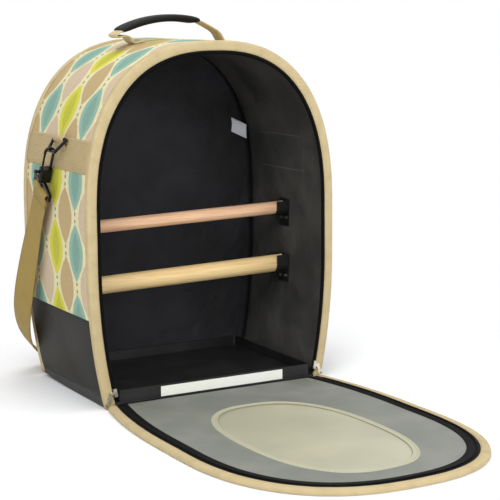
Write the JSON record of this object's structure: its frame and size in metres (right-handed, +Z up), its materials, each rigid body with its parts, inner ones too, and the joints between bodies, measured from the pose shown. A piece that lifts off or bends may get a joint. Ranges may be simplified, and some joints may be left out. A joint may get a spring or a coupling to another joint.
{
  "type": "bird travel carrier",
  "caption": "Soft-sided arched carrier with a zip-down front door, wooden perches on wall brackets, a slide-out tray, a padded grip and a clip-on shoulder strap.",
  "frame": {"origin": "centre of the case base on the ground", "axes": "+Z up, -Y out of the front opening, +X to the right as seen from the front"},
  "size_m": [0.3738, 0.7076, 0.4556],
  "materials": {
    "print_fabric": "matte printed canvas",
    "boot_vinyl": "satin vinyl",
    "base_board": "black covered board",
    "lining": "matte black nylon",
    "binding": "woven binding tape",
    "zip_tape": "woven tape",
    "zip_coil": "nylon coil",
    "webbing": "woven webbing",
    "label": "satin label",
    "bracket_plastic": "moulded black",
    "screw_steel": "plated",
    "wood_upper": "sanded dowel",
    "wood_lower": "sanded dowel",
    "tray_plastic": "moulded black",
    "strip_white": "smooth white",
    "door_lining": "grey nylon",
    "window_film": "pale film",
    "window_edge": "piped edge",
    "zip_metal": "warm plated metal",
    "hook_metal": "black enamel",
    "grip_foam": "soft black grip"
  },
  "bodies": {
    "case": {"gusset_shell": "print_fabric", "side_boots": "boot_vinyl", "base_pan": "base_board", "back_panel": "print_fabric", "back_boot": "boot_vinyl", "wall_lining": "lining", "back_lining": "lining", "front_binding": "binding", "back_binding": "binding", "case_zip_tape": "zip_tape", "case_zip_coil": "zip_coil", "care_label": "label", "side_band_left": "webbing", "side_band_right": "webbing", "ring_tab_left": "webbing", "ring_tab_right": "webbing", "handle_patch_left": "webbing", "handle_patch_right": "webbing", "upper_bracket_left": "bracket_plastic", "upper_bracket_right": "bracket_plastic", "lower_bracket_left": "bracket_plastic", "lower_bracket_right": "bracket_plastic", "bracket_screws": "screw_steel", "hinge_tape": "zip_tape", "shoulder_strap": "webbing", "strap_adjuster": "hook_metal"},
    "door": {"door_panel": "print_fabric", "door_lining": "door_lining", "door_binding": "binding", "door_zip_tape": "zip_tape", "door_zip_coil": "zip_coil", "window_pane": "window_film", "window_trim": "window_edge", "window_welt": "binding"},
    "tray": {"floor_tray": "tray_plastic", "tray_strip": "strip_white"},
    "upper_perch": {"upper_perch": "wood_upper"},
    "lower_perch": {"lower_perch": "wood_lower"},
    "slider_left": {"zip_slider_left": "zip_metal"},
    "slider_right": {"zip_slider_right": "zip_metal"},
    "pull_left": {"zip_pull_left": "zip_metal"},
    "pull_right": {"zip_pull_right": "zip_metal"},
    "handle": {"handle_strap": "webbing", "handle_grip": "grip_foam"},
    "left_ring": {"ring_left": "hook_metal", "hook_left": "hook_metal", "swivel_eye_left": "hook_metal", "strap_loop_left": "webbing"},
    "right_ring": {"ring_right": "hook_metal", "hook_right": "hook_metal", "swivel_eye_right": "hook_metal", "strap_loop_right": "webbing"},
    "left_trigger": {"hook_trigger_left": "hook_metal"},
    "right_trigger": {"hook_trigger_right": "hook_metal"}
  },
  "joints": [
    {"name": "door_hinge", "type": "hinge", "parent": "case", "child": "door", "pos_m": [0, -0.108, 0.0064], "axis": [-1, 0, 0], "range_deg": [0, 90]},
    {"name": "tray_slide", "type": "slide", "parent": "case", "child": "tray", "axis": [0, 1, 0], "range_m": [-0.19, 0]},
    {"name": "upper_perch_lift", "type": "slide", "parent": "case", "child": "upper_perch", "axis": [0, 0, 1], "range_m": [0, 0.03]},
    {"name": "lower_perch_lift", "type": "slide", "parent": "case", "child": "lower_perch", "axis": [0, 0, 1], "range_m": [0, 0.03]},
    {"name": "slider_run_left", "type": "hinge", "parent": "case", "child": "slider_left", "pos_m": [0.55355, -0.1035, 0.162], "axis": [0, 1, 0], "range_deg": [0, 11.61]},
    {"name": "slider_run_right", "type": "hinge", "parent": "case", "child": "slider_right", "pos_m": [-0.55355, -0.1035, 0.162], "axis": [0, -1, 0], "range_deg": [0, 11.61]},
    {"name": "pull_swing_left", "type": "hinge", "parent": "slider_left", "child": "pull_left", "pos_m": [-0.14144, -0.103, 0.01899], "axis": [0, 1, 0], "range_deg": [-30, 150]},
    {"name": "pull_swing_right", "type": "hinge", "parent": "slider_right", "child": "pull_right", "pos_m": [0.14144, -0.103, 0.01899], "axis": [0, -1, 0], "range_deg": [-30, 150]},
    {"name": "handle_fold", "type": "hinge", "parent": "case", "child": "handle", "pos_m": [0, 0, 0.42751], "axis": [1, 0, 0], "range_deg": [-42, 42]},
    {"name": "ring_swing_left", "type": "hinge", "parent": "case", "child": "left_ring", "pos_m": [-0.16014, -0.014, 0.312], "axis": [0, 1, 0], "range_deg": [0, 60]},
    {"name": "ring_swing_right", "type": "hinge", "parent": "case", "child": "right_ring", "pos_m": [0.16014, -0.014, 0.312], "axis": [0, -1, 0], "range_deg": [0, 60]},
    {"name": "trigger_left", "type": "slide", "parent": "left_ring", "child": "left_trigger", "axis": [-0.0311, 0.454, -0.8905], "range_m": [0, 0.007], "stiffness_N_per_m": 120, "springref_m": -0.004},
    {"name": "trigger_right", "type": "slide", "parent": "right_ring", "child": "right_trigger", "axis": [0.0311, 0.454, -0.8905], "range_m": [0, 0.007], "stiffness_N_per_m": 120, "springref_m": -0.004}
  ]
}
